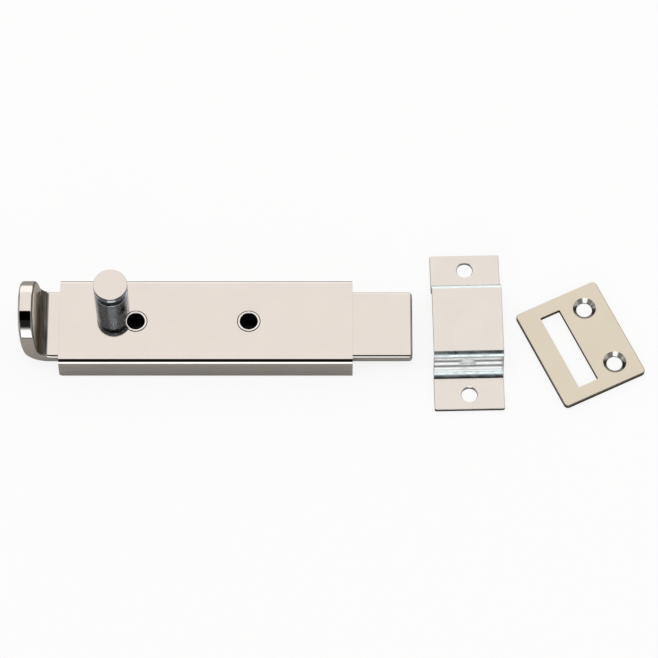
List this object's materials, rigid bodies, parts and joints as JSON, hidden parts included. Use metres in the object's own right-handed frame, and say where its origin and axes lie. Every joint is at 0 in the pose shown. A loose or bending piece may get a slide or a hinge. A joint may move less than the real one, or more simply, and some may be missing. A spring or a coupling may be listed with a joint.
{
  "type": "barrel bolt",
  "caption": "Surface barrel bolt: a flat bar with a pull lip slides in a polished casing, is locked by a push-down knob, and shoots into a staple keep or a mortice plate.",
  "frame": {"origin": "centre of the casing's back face, where it rests on the door", "axes": "+X along the bar towards its thrown end, +Y towards the side the lock knob is set off to, +Z out of the door's face"},
  "size_m": [0.2171, 0.06, 0.0248],
  "materials": {
    "polished_casing": "polished nickel plate",
    "polished_bar": "polished nickel plate",
    "polished_knob": "polished nickel plate",
    "polished_sleeve": "polished nickel plate",
    "polished_keep": "polished nickel plate",
    "polished_plate": "polished nickel plate",
    "back_plate_steel": "plain steel",
    "spring_steel": "spring steel",
    "rivet_steel": "plain steel",
    "pin_steel": "turned steel",
    "bush_brass": "turned brass",
    "ring_rubber": "matte"
  },
  "bodies": {
    "bolt_case": {"casing": "polished_casing", "back_plate": "back_plate_steel", "fixing_sleeve_rear": "polished_sleeve", "fixing_sleeve_front": "polished_sleeve", "leaf_spring": "spring_steel", "spring_rivets": "rivet_steel", "knob_barrel": "polished_knob", "pin_guide_bush": "bush_brass"},
    "bar": {"slide_bar": "polished_bar"},
    "lock": {"lock_pin": "pin_steel", "pin_o_ring": "ring_rubber", "pull_cap": "polished_knob"},
    "keep": {"staple_keep": "polished_keep"},
    "plate": {"mortice_plate": "polished_plate"}
  },
  "joints": [
    {"name": "bolt_slide", "type": "slide", "parent": "bolt_case", "child": "bar", "axis": [1, 0, 0], "range_m": [-0.0208, 0]},
    {"name": "lock_pin_slide", "type": "slide", "parent": "bolt_case", "child": "lock", "axis": [0, 0, 1], "range_m": [-0.0028, 0]},
    {"name": "keep_placing", "type": "slide", "parent": "bolt_case", "child": "keep", "axis": [1, 0, 0], "range_m": [-0.024, 0]},
    {"name": "plate_placing", "type": "slide", "parent": "bolt_case", "child": "plate", "axis": [0, 0, 1], "range_m": [0, 0.02]}
  ]
}
